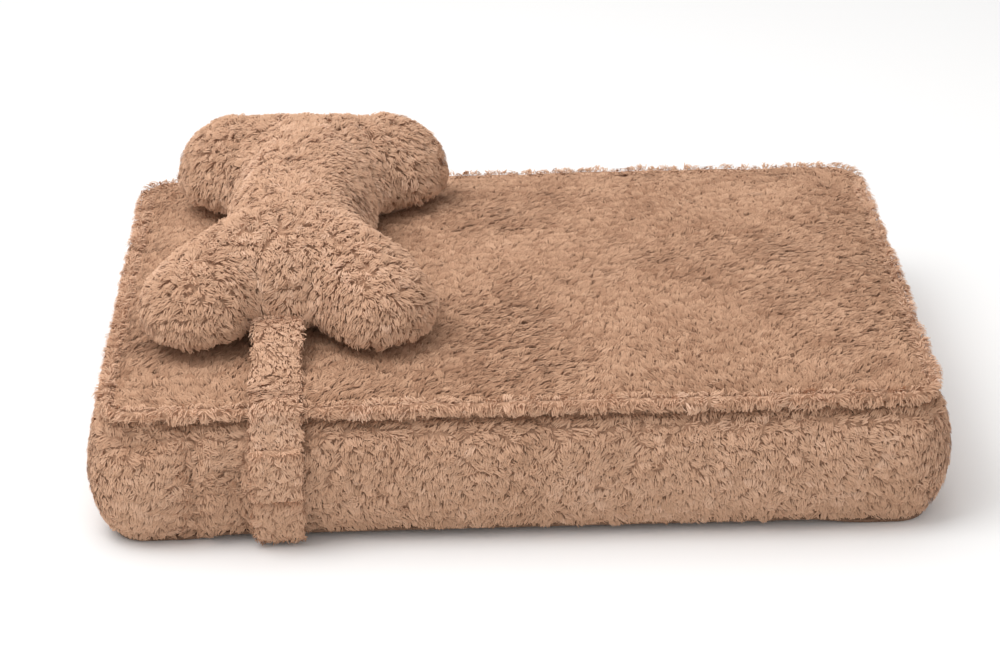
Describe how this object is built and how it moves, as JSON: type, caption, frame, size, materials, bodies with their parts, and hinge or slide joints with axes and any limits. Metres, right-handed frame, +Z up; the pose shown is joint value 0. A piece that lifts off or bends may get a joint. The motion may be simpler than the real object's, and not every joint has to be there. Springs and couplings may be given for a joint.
{
  "type": "pet cushion bed",
  "caption": "Rectangular plush box cushion for a pet, with a bone-shaped pillow held across it by a strap that loops round the cushion.",
  "frame": {"origin": "on the floor, under the middle of the whole bed", "axes": "+X to the right along the long side, +Y from the front face to the rear face, +Z up; the front is the side with the strap's tab"},
  "size_m": [0.9096, 0.7085, 0.2937],
  "materials": {
    "plush": "deep soft pile, matt with a light sheen",
    "base_cloth": "short dense pile, matt",
    "liner_cloth": "thin plain weave",
    "fibre": "loose white polyester fibre",
    "zip_tape": "woven tape",
    "zip_coil": "moulded nylon",
    "zip_metal": "plain metal",
    "elastic": "ribbed flat elastic",
    "hook_and_loop": "matt hook-and-loop tape"
  },
  "bodies": {
    "cushion": {"top_panel": "plush", "front_boxing": "plush", "left_boxing": "plush", "rear_boxing": "plush", "right_boxing_upper": "plush", "right_boxing_lower": "plush", "base_panel": "base_cloth", "top_seam_ridge": "plush", "liner_top": "liner_cloth", "liner_base": "liner_cloth", "fibre_fill": "fibre", "zip_tape_upper": "zip_tape", "zip_tape_lower": "zip_tape", "zip_coil_upper": "zip_coil", "zip_coil_lower": "zip_coil", "zip_stop_front": "zip_metal", "zip_stop_rear": "zip_metal"},
    "bone_and_strap": {"bone_upper_panel": "plush", "bone_lower_panel": "plush", "bone_fill": "fibre", "strap_front": "plush", "strap_rear": "plush", "strap_elastic": "elastic", "strap_lower": "plush", "loop_patch": "hook_and_loop"},
    "tab": {"strap_tab": "plush", "hook_patch": "hook_and_loop"},
    "slider": {"zip_slider": "zip_metal"},
    "pull": {"zip_pull": "zip_metal"}
  },
  "joints": [
    {"name": "bone_slide", "type": "slide", "parent": "cushion", "child": "bone_and_strap", "axis": [1, 0, 0], "range_m": [-0.02, 0.43]},
    {"name": "strap_tab_peel", "type": "hinge", "parent": "bone_and_strap", "child": "tab", "pos_m": [-0.24, -0.35254, 0.062], "axis": [1, 0, 0], "range_deg": [0, 120]},
    {"name": "zip_run", "type": "slide", "parent": "cushion", "child": "slider", "axis": [0, 1, 0], "range_m": [0, 0.46]},
    {"name": "zip_pull_flip", "type": "hinge", "parent": "slider", "child": "pull", "pos_m": [0.4489, -0.23, 0.075], "axis": [0, 0, -1], "range_deg": [0, 170]}
  ]
}
